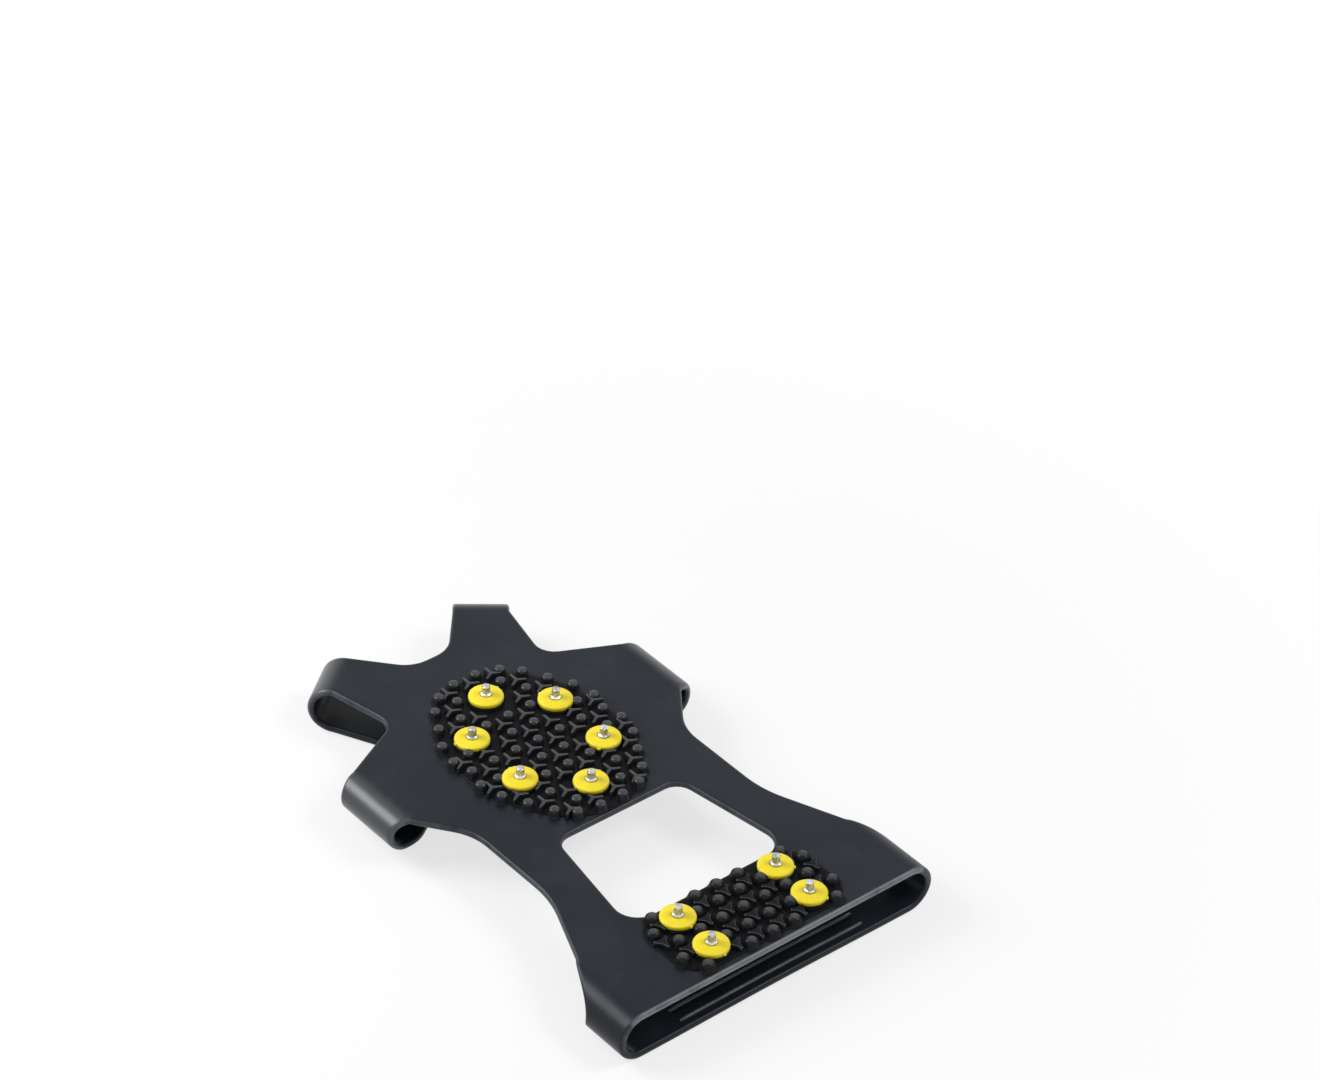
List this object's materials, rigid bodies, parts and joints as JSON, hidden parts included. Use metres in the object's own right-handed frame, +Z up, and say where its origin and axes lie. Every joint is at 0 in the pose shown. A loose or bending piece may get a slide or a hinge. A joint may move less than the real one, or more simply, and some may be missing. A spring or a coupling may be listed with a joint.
{
  "type": "ice cleat",
  "caption": "Pull-on rubber ice cleat for a boot: forefoot and heel soles with studded treads, folded toe and side straps, a toe rim and a heel band.",
  "frame": {"origin": "on the floor under the middle of the outer box, with the cleat lying studs up", "axes": "+Y towards the toe, +Z up out of the studded side, X across the foot"},
  "size_m": [0.13, 0.2059, 0.0251],
  "materials": {
    "moulded_rubber": "matte",
    "tread_rubber": "satin",
    "yellow_plastic": "satin",
    "steel": "satin"
  },
  "bodies": {
    "rim": {"toe_rim": "moulded_rubber"},
    "forefoot": {"forefoot_sole": "moulded_rubber", "forefoot_tread": "tread_rubber", "stud_disc_1": "yellow_plastic", "stud_disc_2": "yellow_plastic", "stud_disc_3": "yellow_plastic", "stud_disc_4": "yellow_plastic", "stud_disc_5": "yellow_plastic", "stud_disc_6": "yellow_plastic", "stud_pin_1": "steel", "stud_pin_2": "steel", "stud_pin_3": "steel", "stud_pin_4": "steel", "stud_pin_5": "steel", "stud_pin_6": "steel"},
    "heel": {"heel_sole": "moulded_rubber", "heel_tread": "tread_rubber", "stud_disc_7": "yellow_plastic", "stud_disc_8": "yellow_plastic", "stud_disc_9": "yellow_plastic", "stud_disc_10": "yellow_plastic", "stud_pin_7": "steel", "stud_pin_8": "steel", "stud_pin_9": "steel", "stud_pin_10": "steel"},
    "band": {"heel_band": "moulded_rubber"}
  },
  "joints": [
    {"name": "toe_fold_open", "type": "hinge", "parent": "rim", "child": "forefoot", "pos_m": [0, 0.09586, 0], "axis": [-1, 0, 0], "range_deg": [0, 20], "stiffness_Nm_per_rad": 0.4},
    {"name": "waist_flex", "type": "hinge", "parent": "forefoot", "child": "heel", "pos_m": [0, -0.0335, 0.0167], "axis": [-1, 0, 0], "range_deg": [0, 60], "stiffness_Nm_per_rad": 0.08},
    {"name": "heel_band_pull", "type": "slide", "parent": "heel", "child": "band", "axis": [0, -1, 0], "range_m": [0, 0.03], "stiffness_N_per_m": 150}
  ]
}
